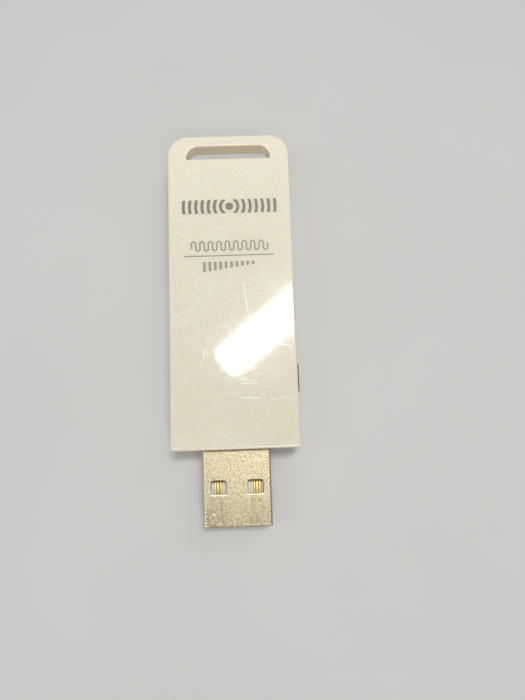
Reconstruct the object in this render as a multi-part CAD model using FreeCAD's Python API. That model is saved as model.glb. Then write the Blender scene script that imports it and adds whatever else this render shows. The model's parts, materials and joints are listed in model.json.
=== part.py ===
import FreeCAD, Part
import math
import os

V = FreeCAD.Vector
os.makedirs("parts", exist_ok=True)

# USB wireless network adapter: a flat two-shell plastic stick with a strap slot
# at one end, a USB type A plug at the other and a push key in its right side.
# Frame: +Z up, the adapter lies on its flat underside (z = 0), +Y runs along the
# stick from the plug to the strap slot, +X is the side with the push key.
# Origin: middle of the whole length and width, on the underside. Millimetres.

# ---------------------------------------------------------------- housing sizes
HOUSING_W = 22.8          # width over the two shells
HOUSING_L = 58.7          # length of the shells, without the plug
HOUSING_T = 8.5           # thickness
PLUG_OUT = 13.3           # plug length outside the shells
TOTAL_L = HOUSING_L + PLUG_OUT
Y_TIP = -TOTAL_L / 2      # mouth of the plug
Y_FRONT = Y_TIP + PLUG_OUT   # plug-end face of the shells
Y_BACK = TOTAL_L / 2      # strap-end face of the upper shell
HW = HOUSING_W / 2
SPLIT_Z = 5.2             # parting plane between the two shells
WALL = 1.4                # side, front and floor walls
ROOF = 1.2                # thickness of the top wall
ROOF_Z = HOUSING_T - ROOF
IN_X = HW - WALL          # inner face of the side walls
END_R = 3.8               # plan radius at the strap end
PLUG_END_R = 0.5          # plan radius at the plug end
TOP_EDGE_R = 0.4          # rounding of the top edges
RIM_R = 0.22              # rounding along the parting line, upper shell
LOW_RIM_R = 0.15          # the same on the lower shell
BOTTOM_EDGE_R = 1.0
# strap slot through the end of the upper shell
SLOT_HALF = 7.9
SLOT_Y0 = Y_FRONT + 54.05
SLOT_Y1 = Y_FRONT + 56.6
SLOT_R = 2.3              # its two outer corners
SLOT_R0 = 0.2             # its two inner corners
SLOT_RIM_R = 0.25
# the underside curves up to the parting plane before the slot
TAIL_Y0 = 20.65
TAIL_R = 12.6
TAIL_Y1 = TAIL_Y0 + math.sqrt(TAIL_R ** 2 - (TAIL_R - SPLIT_Z) ** 2)
# lap joint between the shells
LAP_X = 10.6              # outer face of the lower shell's tongue
LAP_TOP = 6.0             # top of the tongue
LAP_GAP = 0.05
LAP_Y0 = Y_FRONT + WALL + 0.4
LAP_Y1 = 27.0
# snap hooks
HOOK_Y = (5.0, 19.5)
HOOK_W = 2.4

# ---------------------------------------------------------------- plug sizes
SHELL_W, SHELL_H, SHELL_T = 12.1, 4.5, 0.3
SHELL_LEN = 18.5
TAIL_X = (SHELL_W - SHELL_T) / 2   # middle of the solder tails
SHELL_R = 0.42
PLUG_Z = HOUSING_T / 2    # plug's middle height
WIN_W, WIN_L, WIN_R = 2.85, 2.4, 0.6
WIN_RIM_R = 0.12           # rolled outer rim of the windows
WIN_X = 3.26              # window's middle from the plug's middle
WIN_S = 5.52              # window's near edge from the mouth
TONGUE_TOP = PLUG_Z + SHELL_H / 2 - SHELL_T - 2.06
CONTACT_T = 0.25
POWER_W, DATA_W = 1.4, 1.0
RIDGE_W = 0.45            # raised rib down the middle of each contact
GROOVE_W, GROOVE_D = 0.12, 0.14   # groove on each side of the rib

# ---------------------------------------------------------------- circuit board
PCB_T = 1.0
PCB_Z0 = 2.95
PCB_Z1 = PCB_Z0 + PCB_T
PCB_HALF = 8.8
PCB_Y0, PCB_Y1 = -17.0, 25.6
CZ = PCB_Z1 + 0.02        # seating height of the parts on the board

# ---------------------------------------------------------------- push key
KEY_Y = Y_FRONT + 12.45
KEY_L, KEY_H = 5.3, 2.2
KEY_Z = 4.8
KEY_OUT = 0.4             # how far it stands out of the wall
KEY_TRAVEL = 0.3
KEY_GAP = 0.1
LED_Y = KEY_Y + 7.4
LED_Z = 4.25
LED_W, LED_H = 2.0, 1.0


# ---------------------------------------------------------------- helpers
def box(x0, x1, y0, y1, z0, z1):
    return Part.makeBox(x1 - x0, y1 - y0, z1 - z0, V(x0, y0, z0))


def cyl(r, h, pos, axis=(0, 0, 1)):
    return Part.makeCylinder(r, h, V(*pos), V(*axis))


def rounded_wire(pts, radii):
    """Closed wire through (x, y) corner points with one radius per corner, at z = 0."""
    n = len(pts)
    edges, last, first = [], None, None
    for i in range(n):
        p = V(*pts[i], 0)
        a = V(*pts[i - 1], 0) - p
        b = V(*pts[(i + 1) % n], 0) - p
        a.normalize()
        b.normalize()
        r = radii[i]
        if r <= 0:
            s = e = p
            arc = None
        else:
            half = math.acos(max(-1, min(1, a.dot(b)))) / 2
            d = r / math.tan(half)
            s, e = p + a * d, p + b * d
            bis = a + b
            bis.normalize()
            c = p + bis * (r / math.sin(half))
            arc = Part.Arc(s, c - bis * r, e).toShape()
        if last is not None and (s - last).Length > 1e-7:
            edges.append(Part.LineSegment(last, s).toShape())
        if first is None:
            first = s
        if arc is not None:
            edges.append(arc)
        last = e
    if (first - last).Length > 1e-7:
        edges.append(Part.LineSegment(last, first).toShape())
    return Part.Wire(edges)


def prism(pts, radii, z0, z1):
    f = Part.Face(rounded_wire(pts, radii))
    f.translate(V(0, 0, z0))
    return f.extrude(V(0, 0, z1 - z0))


def rbox_z(x0, x1, y0, y1, z0, z1, r):
    return prism([(x0, y0), (x1, y0), (x1, y1), (x0, y1)], [r] * 4, z0, z1)


def rbox_x(x0, x1, y0, y1, z0, z1, r):
    """Box along X whose Y-Z outline has rounded corners."""
    s = prism([(y0, z0), (y1, z0), (y1, z1), (y0, z1)], [r] * 4, 0, x1 - x0)
    s.rotate(V(0, 0, 0), V(1, 1, 1), 120)   # local x -> y, y -> z, z -> x
    s.translate(V(x0, 0, 0))
    return s


def rbox_y(x0, x1, y0, y1, z0, z1, r):
    """Box along Y whose X-Z outline has rounded corners."""
    s = prism([(x0, z0), (x1, z0), (x1, z1), (x0, z1)], [r] * 4, 0, y1 - y0)
    s.rotate(V(0, 0, 0), V(1, 0, 0), 90)   # local y -> z, local z -> -y
    s.translate(V(0, y1, 0))
    return s


def yz_prism(edges, x0, x1):
    f = Part.Face(Part.Wire(edges))
    return f.extrude(V(x1 - x0, 0, 0))


def fillet(shape, r, pick):
    es = [e for e in shape.Edges if pick(e)]
    return shape.makeFillet(r, es) if es else shape


def chamfer(shape, r, pick):
    es = [e for e in shape.Edges if pick(e)]
    return shape.makeChamfer(r, es) if es else shape


def on_z(e, z, tol=1e-4):
    b = e.BoundBox
    return abs(b.ZMin - z) < tol and abs(b.ZMax - z) < tol


def on_y(e, y, tol=1e-4):
    b = e.BoundBox
    return abs(b.YMin - y) < tol and abs(b.YMax - y) < tol


def on_x(e, x, tol=1e-4):
    b = e.BoundBox
    return abs(b.XMin - x) < tol and abs(b.XMax - x) < tol


def save(name, shape):
    sol = shape.removeSplitter().Solids
    out = sol[0] if len(sol) == 1 else Part.makeCompound(sol)
    if not sol or not out.isValid():
        raise SystemExit("bad shape: " + name)
    out.exportStep("parts/" + name + ".step")
    b = out.optimalBoundingBox(False)
    print("%-22s solids %2d  vol %9.3f  x %.2f..%.2f y %.2f..%.2f z %.2f..%.2f" % (
        name, len(sol), sum(s.Volume for s in sol), b.XMin, b.XMax, b.YMin, b.YMax, b.ZMin, b.ZMax))
    return out


def group(items):
    return Part.makeCompound(items)


# ================================================================ upper shell
top = prism([(-HW, Y_FRONT), (HW, Y_FRONT), (HW, Y_BACK), (-HW, Y_BACK)],
            [PLUG_END_R, PLUG_END_R, END_R, END_R], SPLIT_Z, HOUSING_T)
top = fillet(top, TOP_EDGE_R, lambda e: on_z(e, HOUSING_T))
top = fillet(top, RIM_R, lambda e: on_z(e, SPLIT_Z))

# strap slot
slot = prism([(-SLOT_HALF, SLOT_Y0), (SLOT_HALF, SLOT_Y0), (SLOT_HALF, SLOT_Y1), (-SLOT_HALF, SLOT_Y1)],
             [SLOT_R0, SLOT_R0, SLOT_R, SLOT_R], SPLIT_Z - 1, HOUSING_T + 1)
top = top.cut(slot)


def in_slot(e):
    b = e.BoundBox
    return (b.YMin > SLOT_Y0 - 0.01 and b.YMax < SLOT_Y1 + 0.01
            and b.XMin > -SLOT_HALF - 0.01 and b.XMax < SLOT_HALF + 0.01)


top = fillet(top, SLOT_RIM_R, lambda e: in_slot(e) and on_z(e, HOUSING_T))
top = fillet(top, 0.2, lambda e: in_slot(e) and on_z(e, SPLIT_Z))

# inside of the upper shell
top = top.cut(rbox_z(-IN_X, IN_X, Y_FRONT + WALL, 29.0, SPLIT_Z - 1, ROOF_Z, 0.8))
KEY_ZONE = (KEY_Y - 4.3, KEY_Y + 4.3)
for sx in (-1, 1):
    spans = [(LAP_Y0, LAP_Y1)] if sx < 0 else [(LAP_Y0, KEY_ZONE[0]), (KEY_ZONE[1], LAP_Y1)]
    for a, b in spans:
        x0, x1 = sorted((sx * (IN_X - 0.3), sx * (LAP_X + LAP_GAP)))
        top = top.cut(box(x0, x1, a - 0.1, b + 0.1, SPLIT_Z - 1, LAP_TOP + LAP_GAP))

# plug opening, upper part
open_w, open_h = SHELL_W / 2 + 0.06, SHELL_H / 2 + 0.06
plug_hole = rbox_y(-open_w, open_w, Y_FRONT - 1, Y_FRONT + WALL + 0.3, PLUG_Z - open_h, PLUG_Z + open_h, SHELL_R + 0.06)
top = top.cut(plug_hole)

# key opening, shared with the lower shell
key_hole = rbox_x(IN_X - 1.5, HW + 1, KEY_Y - KEY_L / 2 - KEY_GAP, KEY_Y + KEY_L / 2 + KEY_GAP,
                  KEY_Z - KEY_H / 2 - KEY_GAP, KEY_Z + KEY_H / 2 + KEY_GAP, 0.65)
top = top.cut(key_hole)

# ribs that press on the plug, posts that hold the board down, snap hooks
adds = []
for a, b in ((-20.7, -19.9), (-19.0, -18.3)):
    adds.append(box(-4.4, 4.4, a, b, PLUG_Z + SHELL_H / 2 + 0.03, ROOF_Z + 0.2))
for x, y in ((-7.9, -4.5), (-7.9, 13.0), (7.9, 1.5), (7.9, 13.0)):
    adds.append(box(x - 0.6, x + 0.6, y - 1.0, y + 1.0, PCB_Z1 + 0.06, ROOF_Z + 0.2))
for x in (-5.0, 0.0, 5.0):
    adds.append(box(x - 0.35, x + 0.35, 27.2, 29.2, SPLIT_Z + 0.6, ROOF_Z + 0.2))
for sx in (-1, 1):
    for y in HOOK_Y:
        x0, x1 = sorted((sx * 9.22, sx * 9.88))
        adds.append(box(x0, x1, y - HOOK_W / 2, y + HOOK_W / 2, 3.35, ROOF_Z + 0.2))
        tooth = Part.Face(Part.makePolygon([V(9.8, 0, 3.35), V(9.88, 0, 3.35), V(10.22, 0, 3.85), V(10.22, 0, 4.1),
                                            V(9.8, 0, 4.1), V(9.8, 0, 3.35)])).extrude(V(0, HOOK_W, 0))
        tooth.translate(V(0, y - HOOK_W / 2, 0))
        if sx < 0:
            tooth = tooth.mirror(V(0, 0, 0), V(1, 0, 0))
        adds.append(tooth)
top = top.fuse(adds)
save("top_cover", top)

# ================================================================ print on the upper face
# a thin layer of ink: spreading arcs, a wave line, a rule and a row of rising bars
INK_Z0, INK_Z1 = HOUSING_T, HOUSING_T + 0.02
ROW1 = (Y_FRONT + 43.2, Y_FRONT + 45.85)
ROW2 = (Y_FRONT + 35.9, Y_FRONT + 37.9)
RULE_Y = Y_FRONT + 35.05
ROW3 = (Y_FRONT + 32.0, Y_FRONT + 33.9)
ink = []
yc = (ROW1[0] + ROW1[1]) / 2
band = box(-9.1, 9.1, ROW1[0], ROW1[1], INK_Z0, INK_Z1)
ink.append(cyl(0.72, INK_Z1 - INK_Z0, (0, yc, INK_Z0)))
for i in range(7):
    r = 1.62 + 1.15 * i
    ring = cyl(r + 0.27, INK_Z1 - INK_Z0, (0, yc, INK_Z0)).cut(cyl(r - 0.27, 1, (0, yc, INK_Z0 - 0.5)))
    ring = ring.common(band)
    for sx in (-1, 1):
        half = max(0.35, r * 0.45) if i < 2 else 0.0
        ink.append(ring.common(box(min(sx * half, sx * 12), max(sx * half, sx * 12), ROW1[0], ROW1[1], INK_Z0, INK_Z1)))
# the wave: upright strokes joined by half rings, at the top and at the bottom in turn
WAVE_X0, WAVE_N, WAVE_P, WAVE_W = -7.12, 18, 0.776, 0.26
wave_r = WAVE_P / 2
wave_lo, wave_hi = ROW2[0] + WAVE_W / 2 + wave_r, ROW2[1] - WAVE_W / 2 - wave_r
wave = []
for i in range(WAVE_N + 1):
    x = WAVE_X0 + i * WAVE_P
    wave.append(box(x - WAVE_W / 2, x + WAVE_W / 2, wave_lo, wave_hi, INK_Z0, INK_Z1))
    if i < WAVE_N:
        xm, up = x + wave_r, i % 2 == 0
        ring = cyl(wave_r + WAVE_W / 2, INK_Z1 - INK_Z0, (xm, wave_hi if up else wave_lo, INK_Z0)).cut(
            cyl(wave_r - WAVE_W / 2, 1, (xm, wave_hi if up else wave_lo, INK_Z0 - 0.5)))
        y0, y1 = (wave_hi, wave_hi + 1) if up else (wave_lo - 1, wave_lo)
        wave.append(ring.common(box(xm - 1, xm + 1, y0, y1, INK_Z0, INK_Z1)))
ink.append(wave[0].fuse(wave[1:]))
ink.append(box(-8.5, 7.95, RULE_Y - 0.1, RULE_Y + 0.1, INK_Z0, INK_Z1))
for i in range(10):
    x = 4.4 - 0.55 - i * 0.99
    ink.append(box(x, x + 0.5, ROW3[1] - 0.6 - 0.144 * i, ROW3[1], INK_Z0, INK_Z1))
save("printed_mark", group(ink))

# ================================================================ lower shell
c = (TAIL_Y0, TAIL_R)     # centre of the tail's curve in (y, z)


def tail_profile(y0, z0, r):
    """Y-Z outline: floor at z0 from y0, a rising arc of radius r about c, closed at the parting plane."""
    y1 = c[0] + math.sqrt(r ** 2 - (c[1] - SPLIT_Z) ** 2)
    a1 = math.atan2(SPLIT_Z - c[1], y1 - c[0])
    am = (a1 - math.pi / 2) / 2
    mid = V(0, c[0] + r * math.cos(am), c[1] + r * math.sin(am))
    p0, p1, p2, p3 = V(0, y0, z0), V(0, c[0], c[1] - r), V(0, y1, SPLIT_Z), V(0, y0, SPLIT_Z)
    return [Part.LineSegment(p0, p1).toShape(), Part.Arc(p1, mid, p2).toShape(),
            Part.LineSegment(p2, p3).toShape(), Part.LineSegment(p3, p0).toShape()]


low = yz_prism(tail_profile(Y_FRONT, 0.0, TAIL_R), -HW, HW)
low.translate(V(-HW, 0, 0))
low = fillet(low, PLUG_END_R, lambda e: abs(e.BoundBox.YMin - Y_FRONT) < 1e-4 and abs(e.BoundBox.YMax - Y_FRONT) < 1e-4
             and e.BoundBox.ZLength > 3)
low = fillet(low, BOTTOM_EDGE_R, lambda e: abs(abs(e.BoundBox.XMin) - HW) < 1e-4 and abs(abs(e.BoundBox.XMax) - HW) < 1e-4
             and e.BoundBox.XLength < 1e-3 and e.BoundBox.YLength > 5 and e.BoundBox.ZMin < 1.0)
low = fillet(low, LOW_RIM_R, lambda e: on_z(e, SPLIT_Z) and e.BoundBox.YMax < TAIL_Y1 - 0.01)

inner = yz_prism(tail_profile(Y_FRONT + WALL, WALL, TAIL_R - WALL), -IN_X, IN_X)
inner.translate(V(-IN_X, 0, 0))
inner = inner.fuse(box(-IN_X, IN_X, Y_FRONT + WALL, 29.0, SPLIT_Z - 0.01, SPLIT_Z + 1))
low = low.cut(inner)

adds = []
for sx in (-1, 1):
    spans = [(LAP_Y0, LAP_Y1)] if sx < 0 else [(LAP_Y0, KEY_ZONE[0]), (KEY_ZONE[1], LAP_Y1)]
    for a, b in spans:
        x0, x1 = sorted((sx * IN_X, sx * LAP_X))
        adds.append(box(x0, x1, a, b, SPLIT_Z - 0.5, LAP_TOP))
# saddles under the plug and ledges under the board
for a, b in ((-20.7, -19.9), (-19.0, -18.3)):
    adds.append(box(-4.4, 4.4, a, b, WALL - 0.2, PLUG_Z - SHELL_H / 2 - 0.02))
for y0, y1 in ((-14.0, -7.5), (-1.0, 2.5), (9.0, 14.5)):
    for sx in (-1, 1):
        x0, x1 = sorted((sx * 8.1, sx * (IN_X + 0.1)))
        adds.append(box(x0, x1, y0, y1, WALL - 0.2, PCB_Z0))
low = low.fuse(adds)
# board pins
PINS = ((-6.9, 21.6), (6.9, 21.6), (-6.9, -9.6))
for x, y in PINS:
    low = low.fuse([cyl(1.3, PCB_Z0 - 1.2, (x, y, 1.2)), cyl(0.65, 4.75 - 1.2, (x, y, 1.2))])

low = low.cut(plug_hole)
low = low.cut(key_hole)
led_hole = rbox_x(IN_X - 0.5, HW + 1, LED_Y - LED_W / 2 - 0.04, LED_Y + LED_W / 2 + 0.04,
                  LED_Z - LED_H / 2 - 0.04, LED_Z + LED_H / 2 + 0.04, 0.4)
low = low.cut(led_hole)
for sx in (-1, 1):
    for y in HOOK_Y:
        x0, x1 = sorted((sx * (IN_X - 0.2), sx * 10.32))
        low = low.cut(box(x0, x1, y - 1.45, y + 1.45, 3.1, 4.2))
# label recess in the underside
LABEL = (8.6, -15.6, 14.0)   # half width, y from, y to
low = low.cut(rbox_z(-LABEL[0], LABEL[0], LABEL[1], LABEL[2], -1, 0.15, 1.0))
save("bottom_cover", low)
save("rating_label", rbox_z(-LABEL[0] + 0.15, LABEL[0] - 0.15, LABEL[1] + 0.15, LABEL[2] - 0.15, 0.05, 0.15, 0.85))

# ================================================================ push key
key = rbox_x(9.95, HW + KEY_OUT, KEY_Y - KEY_L / 2, KEY_Y + KEY_L / 2, KEY_Z - KEY_H / 2, KEY_Z + KEY_H / 2, 0.55)
key = fillet(key, 0.25, lambda e: on_x(e, HW + KEY_OUT))
key = key.fuse([box(9.35, 9.95, KEY_Y - 3.3, KEY_Y + 3.3, KEY_Z - 1.5, KEY_Z + 1.6),
                rbox_x(9.0, 9.4, KEY_Y - 0.9, KEY_Y + 0.9, KEY_Z - 0.45, KEY_Z + 0.45, 0.15)])
save("side_button", key)

# ================================================================ light guide and lamp
guide = rbox_x(9.6, HW, LED_Y - LED_W / 2, LED_Y + LED_W / 2, LED_Z - LED_H / 2, LED_Z + LED_H / 2, 0.36)
guide = guide.fuse(box(9.3, 9.92, LED_Y - 1.5, LED_Y + 1.5, LED_Z - 0.5, LED_Z + 1.0))
save("led_light_guide", guide)
lamp = [box(7.95, 8.75, LED_Y - 0.45, LED_Y + 0.45, CZ, CZ + 0.6)]
for s in (-1, 1):
    lamp.append(box(7.95, 8.6, LED_Y + s * 0.65 - 0.18, LED_Y + s * 0.65 + 0.18, CZ, CZ + 0.5))
save("status_led", group(lamp))

# ================================================================ USB plug
shell = rbox_y(-SHELL_W / 2, SHELL_W / 2, Y_TIP, Y_TIP + SHELL_LEN, PLUG_Z - SHELL_H / 2, PLUG_Z + SHELL_H / 2, SHELL_R)
shell = fillet(shell, 0.12, lambda e: on_y(e, Y_TIP))
bore = rbox_y(-SHELL_W / 2 + SHELL_T, SHELL_W / 2 - SHELL_T, Y_TIP - 1, Y_TIP + SHELL_LEN + 1,
              PLUG_Z - SHELL_H / 2 + SHELL_T, PLUG_Z + SHELL_H / 2 - SHELL_T, SHELL_R - SHELL_T)
shell = shell.cut(bore)
for sx in (-1, 1):
    w = rbox_z(sx * WIN_X - WIN_W / 2, sx * WIN_X + WIN_W / 2, Y_TIP + WIN_S, Y_TIP + WIN_S + WIN_L,
               PLUG_Z - 4, PLUG_Z + 4, WIN_R)
    shell = shell.cut(w)


def window_rim(e):
    b = e.BoundBox
    return ((on_z(e, PLUG_Z + SHELL_H / 2) or on_z(e, PLUG_Z - SHELL_H / 2)) and b.YMin > Y_TIP + WIN_S - 0.01
            and b.YMax < Y_TIP + WIN_S + WIN_L + 0.01)


shell = fillet(shell, WIN_RIM_R, window_rim)
# folded seam along the underside
SEAM = 0.06
seam = [box(-SEAM / 2, SEAM / 2, Y_TIP - 1, Y_TIP + 4.0, 1.5, PLUG_Z - SHELL_H / 2 + 0.14),
        box(-1.2, 1.2, Y_TIP + 4.0 - SEAM, Y_TIP + 4.0, 1.5, PLUG_Z - SHELL_H / 2 + 0.14),
        box(-1.2 - SEAM, -1.2, Y_TIP + 4.0 - SEAM, Y_TIP + 7.2, 1.5, PLUG_Z - SHELL_H / 2 + 0.14),
        box(1.2, 1.2 + SEAM, Y_TIP + 4.0 - SEAM, Y_TIP + 7.2, 1.5, PLUG_Z - SHELL_H / 2 + 0.14),
        box(-1.2 - SEAM, 1.2 + SEAM, Y_TIP + 7.2, Y_TIP + 7.2 + SEAM, 1.5, PLUG_Z - SHELL_H / 2 + 0.14),
        box(-SEAM / 2, SEAM / 2, Y_TIP + 7.2, Y_TIP + SHELL_LEN + 1, 1.5, PLUG_Z - SHELL_H / 2 + 0.14)]
shell = shell.cut(seam)
# solder tails: the side walls run on behind the shell and drop through the board
Y_REAR = Y_TIP + SHELL_LEN
for sx in (-1, 1):
    x0, x1 = sorted((sx * (SHELL_W / 2 - SHELL_T), sx * SHELL_W / 2))
    shell = shell.fuse([box(x0, x1, Y_REAR - 0.6, Y_REAR + 2.3, PCB_Z1 + 0.03, PCB_Z1 + 1.25),
                        box(x0, x1, Y_REAR + 1.1, Y_REAR + 2.1, PCB_Z0 - 0.7, PCB_Z1 + 0.4)])
save("usb_shell", shell)

CONTACT_Z0 = TONGUE_TOP + 0.08 - CONTACT_T
tongue = rbox_y(-5.6, 5.6, Y_TIP + 0.35, Y_REAR + 0.2, PLUG_Z - SHELL_H / 2 + SHELL_T + 0.02, TONGUE_TOP, 0.12)
tongue = fillet(tongue, 0.25, lambda e: on_y(e, Y_TIP + 0.35) and e.BoundBox.XLength > 5)
block = rbox_y(-5.71, 5.71, Y_TIP + 11.9, Y_REAR + 0.2, PLUG_Z - SHELL_H / 2 + SHELL_T + 0.02,
               PLUG_Z + SHELL_H / 2 - SHELL_T - 0.02, 0.33)
ins = tongue.fuse(block)
contacts = {}
for x in (-3.5, -1.0, 1.0, 3.5):
    power = abs(x) > 2
    s0 = 1.1 if power else 2.1
    CONTACT_W = POWER_W if power else DATA_W
    ins = ins.cut(box(x - CONTACT_W / 2 - 0.1, x + CONTACT_W / 2 + 0.1, Y_TIP + s0 - 0.12, Y_TIP + 11.9, CONTACT_Z0 - 0.01, TONGUE_TOP + 0.5))
    ins = ins.cut(box(x - CONTACT_W / 2 - 0.01, x + CONTACT_W / 2 + 0.01, Y_TIP + 11.8, Y_REAR + 1, CONTACT_Z0 - 0.01,
                      TONGUE_TOP + 0.09))
    strip = box(x - CONTACT_W / 2, x + CONTACT_W / 2, Y_TIP + s0, Y_TIP + 21.0, CONTACT_Z0, TONGUE_TOP + 0.08)
    strip = chamfer(strip, 0.08, lambda e: on_z(e, TONGUE_TOP + 0.08) and (e.BoundBox.YLength > 5 or on_y(e, Y_TIP + s0)))
    ridge = box(x - RIDGE_W / 2, x + RIDGE_W / 2, Y_TIP + s0 + 0.35, Y_TIP + 11.7, CONTACT_Z0 + 0.05, TONGUE_TOP + 0.15)
    strip = strip.fuse(chamfer(ridge, 0.06, lambda e: on_z(e, TONGUE_TOP + 0.15)))
    for sd in (-1, 1):
        xg = x + sd * (RIDGE_W + GROOVE_W) / 2
        strip = strip.cut(box(xg - GROOVE_W / 2, xg + GROOVE_W / 2, Y_TIP + s0 + 0.35, Y_TIP + 11.7, TONGUE_TOP + 0.08 - GROOVE_D, TONGUE_TOP + 1))
    contacts.setdefault(power, []).append(strip)
save("usb_insulator", ins)
save("usb_power_contacts", group(contacts[True]))
save("usb_data_contacts", group(contacts[False]))

# ================================================================ circuit board
pcb = prism([(-PCB_HALF, PCB_Y0), (PCB_HALF, PCB_Y0), (PCB_HALF, PCB_Y1), (-PCB_HALF, PCB_Y1)],
            [0.5, 0.5, 2.5, 2.5], PCB_Z0, PCB_Z1)
for x, y in PINS:
    pcb = pcb.cut(cyl(0.72, 3, (x, y, PCB_Z0 - 1)))
for sx in (-1, 1):
    pcb = pcb.cut(rbox_z(sx * TAIL_X - 0.3, sx * TAIL_X + 0.3, Y_REAR + 1.0, Y_REAR + 2.2, PCB_Z0 - 1, PCB_Z1 + 1, 0.28))
save("circuit_board", pcb)

# printed antenna: a meandered copper trace at the strap end of the board
TR = 0.6
tz0, tz1 = PCB_Z1 + 0.01, PCB_Z1 + 0.06
ys = 15.2
pieces = [box(-0.3, 0.3, 12.9, ys + TR, tz0, tz1)]
turns = [-5.4, -3.6, -1.8, 0.0, 1.8, 3.6, 5.4]
pieces.append(box(-5.4 - TR / 2, 0.3, ys, ys + TR, tz0, tz1))
for i, x in enumerate(turns):
    pieces.append(box(x - TR / 2, x + TR / 2, ys if i == 0 else 17.2, 24.2, tz0, tz1))
    if i < len(turns) - 1:
        y0 = 24.2 - TR if i % 2 == 0 else 17.2
        pieces.append(box(x - TR / 2, turns[i + 1] + TR / 2, y0, y0 + TR, tz0, tz1))
ant = pieces[0].fuse(pieces[1:])
save("printed_antenna", ant)

# radio chip: flat square package with a pin-one dot, on a ring of pads
chip = rbox_z(-3.0, 3.0, -1.0, 5.0, CZ + 0.05, CZ + 0.9, 0.08)
chip = chip.cut(cyl(0.3, 1, (-2.3, 4.3, CZ + 0.86)))
save("radio_chip", chip)
pads = []
for i in range(10):
    t = -2.25 + 0.5 * i
    for s in (-1, 1):
        x0, x1 = sorted((s * 2.5, s * 3.12))
        pads.append(box(x0, x1, 2.0 + t - 0.12, 2.0 + t + 0.12, PCB_Z1 + 0.005, CZ + 0.05))
        y0, y1 = sorted((2.0 + s * 2.5, 2.0 + s * 3.12))
        pads.append(box(t - 0.12, t + 0.12, y0, y1, PCB_Z1 + 0.005, CZ + 0.05))
save("radio_chip_pins", group(pads))

# crystal in its metal can
can = rbox_z(-6.9, -4.4, -0.4, 2.8, CZ, CZ + 0.32, 0.1)
can = can.fuse(rbox_z(-6.7, -4.6, -0.2, 2.6, CZ + 0.3, CZ + 0.72, 0.25))
save("crystal_oscillator", can)

# shielded power inductor
coil = rbox_z(3.0, 6.0, -6.6, -3.6, CZ, CZ + 1.2, 0.45)
coil = coil.cut(cyl(0.9, 1, (4.5, -5.1, CZ + 1.08)))
save("power_inductor", coil)


def sot(xc, yc, n_left, n_right, w=1.6, l=2.9, h=1.0):
    """Small moulded package with gull-wing legs: body and legs as separate solids."""
    body = box(xc - w / 2, xc + w / 2, yc - l / 2, yc + l / 2, CZ + 0.08, CZ + h)
    body = chamfer(body, 0.12, lambda e: on_z(e, CZ + h))
    legs = []
    for side, n in ((-1, n_left), (1, n_right)):
        for i in range(n):
            y = yc + ((i - 1) * 0.95 if n == 3 else (-0.95 + 1.9 * i if n == 2 else 0.0))
            a = xc + side * w / 2
            x0, x1 = sorted((a, a + side * 0.6))
            legs.append(box(x0, x1, y - 0.2, y + 0.2, CZ, CZ + 0.15).fuse(
                box(min(a, a + side * 0.2), max(a, a + side * 0.2), y - 0.2, y + 0.2, CZ, CZ + 0.5)))
    return [body] + legs


save("voltage_regulator", group(sot(-4.6, -5.6, 2, 3)))
save("esd_protector", group(sot(0.0, -10.6, 3, 3)))

# balanced filter and antenna test socket on the radio path
save("rf_filter", group([box(-1.0, 1.0, 6.7, 7.95, CZ, CZ + 0.9)]))
sock = rbox_z(-1.25, 1.25, 9.3, 11.8, CZ, CZ + 0.75, 0.15).fuse(cyl(0.95, 1.3, (0, 10.55, CZ)))
sock = sock.cut(cyl(0.4, 1, (0, 10.55, CZ + 0.7)))
save("antenna_test_socket", sock)


def chip_part(x, y, l, w, h, along_x):
    """Two-terminal chip: body with a metal cap at each end."""
    e = l * 0.22
    if along_x:
        return [box(x - l / 2 + e, x + l / 2 - e, y - w / 2 + 0.02, y + w / 2 - 0.02, CZ + 0.02, CZ + h - 0.02)], [
            box(x - l / 2, x - l / 2 + e, y - w / 2, y + w / 2, CZ, CZ + h),
            box(x + l / 2 - e, x + l / 2, y - w / 2, y + w / 2, CZ, CZ + h)]
    return [box(x - w / 2 + 0.02, x + w / 2 - 0.02, y - l / 2 + e, y + l / 2 - e, CZ + 0.02, CZ + h - 0.02)], [
        box(x - w / 2, x + w / 2, y - l / 2, y - l / 2 + e, CZ, CZ + h),
        box(x - w / 2, x + w / 2, y + l / 2 - e, y + l / 2, CZ, CZ + h)]


caps = [(4.3, 4.6, 1.0, 0.5, 0.5, 1), (4.3, 3.5, 1.0, 0.5, 0.5, 1), (4.3, 2.4, 1.0, 0.5, 0.5, 1), (4.3, 1.3, 1.0, 0.5, 0.5, 1),
        (4.3, 0.2, 1.0, 0.5, 0.5, 1), (4.3, -0.9, 1.0, 0.5, 0.5, 1), (-2.2, -2.4, 1.0, 0.5, 0.5, 0), (-1.1, -2.4, 1.0, 0.5, 0.5, 0),
        (0.0, -2.4, 1.0, 0.5, 0.5, 0), (1.1, -2.4, 1.0, 0.5, 0.5, 0), (-5.7, 4.0, 1.0, 0.5, 0.5, 1), (-5.7, -1.6, 1.0, 0.5, 0.5, 1),
        (0.2, -5.0, 1.6, 0.8, 0.8, 0), (-1.4, -5.0, 1.6, 0.8, 0.8, 0), (-5.0, -12.2, 1.6, 0.8, 0.8, 1), (1.6, 8.9, 1.0, 0.5, 0.5, 0)]
res = [(2.2, -2.4, 1.0, 0.5, 0.35, 0), (-2.9, 6.4, 1.0, 0.5, 0.35, 1), (-2.9, 7.4, 1.0, 0.5, 0.35, 1), (3.0, 6.4, 1.0, 0.5, 0.35, 1),
       (3.0, 7.4, 1.0, 0.5, 0.35, 1), (6.3, -0.9, 1.0, 0.5, 0.35, 1), (0.9, -13.2, 1.0, 0.5, 0.35, 0), (-0.9, -13.2, 1.0, 0.5, 0.35, 0),
       (6.1, LED_Y, 1.0, 0.5, 0.35, 1)]
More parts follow.
